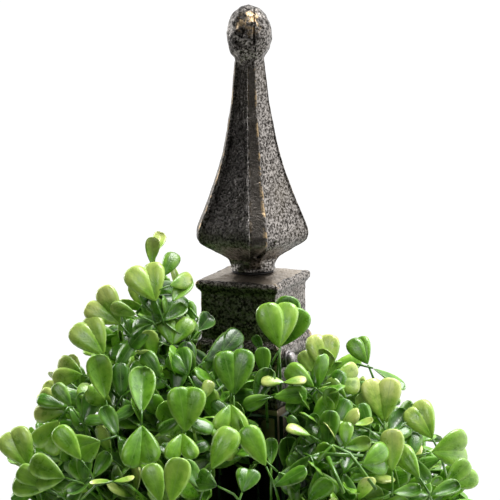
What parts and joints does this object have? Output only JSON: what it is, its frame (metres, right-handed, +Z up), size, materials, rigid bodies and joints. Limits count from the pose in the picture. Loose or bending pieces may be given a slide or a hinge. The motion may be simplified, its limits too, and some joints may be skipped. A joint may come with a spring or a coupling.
{
  "type": "garden obelisk",
  "caption": "Square tapering garden obelisk with a turned cast-iron finial and cap on curved iron legs, dressed with clip-on artificial boxwood.",
  "frame": {"origin": "centre of the footprint on the ground", "axes": "+Z up; the cap block and the frame are square to X and Y, the front side faces -Y"},
  "size_m": [0.4038, 0.4038, 0.9497],
  "materials": {
    "cast_iron": "satin",
    "black_iron": "gloss",
    "steel": "satin",
    "rubber": "matte",
    "mat_plastic": "matte",
    "boxwood": "satin"
  },
  "bodies": {
    "frame": {"boxwood_base_back": "boxwood", "boxwood_base_front": "boxwood", "boxwood_base_left": "boxwood", "boxwood_base_right": "boxwood", "boxwood_crown_back": "boxwood", "boxwood_crown_front": "boxwood", "boxwood_crown_left": "boxwood", "boxwood_crown_right": "boxwood", "boxwood_lower_back": "boxwood", "boxwood_lower_front": "boxwood", "boxwood_lower_left": "boxwood", "boxwood_lower_right": "boxwood", "boxwood_mat_back": "mat_plastic", "boxwood_mat_front": "mat_plastic", "boxwood_mat_left": "mat_plastic", "boxwood_mat_right": "mat_plastic", "boxwood_upper_back": "boxwood", "boxwood_upper_front": "boxwood", "boxwood_upper_left": "boxwood", "boxwood_upper_right": "boxwood", "cap_block": "cast_iron", "cap_bolt_back": "steel", "cap_bolt_front": "steel", "cap_bolt_left": "steel", "cap_bolt_right": "steel", "cap_washer_back": "steel", "cap_washer_front": "steel", "cap_washer_left": "steel", "cap_washer_right": "steel", "finial_stud": "steel", "foot_plate_back_left": "black_iron", "foot_plate_back_right": "black_iron", "foot_plate_front_left": "black_iron", "foot_plate_front_right": "black_iron", "leg_back_left": "black_iron", "leg_back_right": "black_iron", "leg_crown": "black_iron", "leg_front_left": "black_iron", "leg_front_right": "black_iron", "rail_high_back": "black_iron", "rail_high_front": "black_iron", "rail_high_left": "black_iron", "rail_high_right": "black_iron", "rail_low_back": "black_iron", "rail_low_front": "black_iron", "rail_low_left": "black_iron", "rail_low_right": "black_iron", "rail_middle_back": "black_iron", "rail_middle_front": "black_iron", "rail_middle_left": "black_iron", "rail_middle_right": "black_iron", "stud_nut": "steel", "stud_washer": "steel"},
    "gasket": {"finial_gasket": "rubber"},
    "finial": {"finial": "cast_iron"}
  },
  "joints": [
    {"name": "finial_rise", "type": "slide", "parent": "frame", "child": "gasket", "axis": [0, 0, 1], "range_m": [0, 0.009]},
    {"name": "finial_turn", "type": "hinge", "parent": "gasket", "child": "finial", "pos_m": [0, 0, 0.7844], "axis": [0, 0, 1], "range_deg": [0, 2160]}
  ],
  "couplings": [
    {"joint": "finial_rise", "follows": "finial_turn", "m_per_rad": 0.00023873}
  ]
}
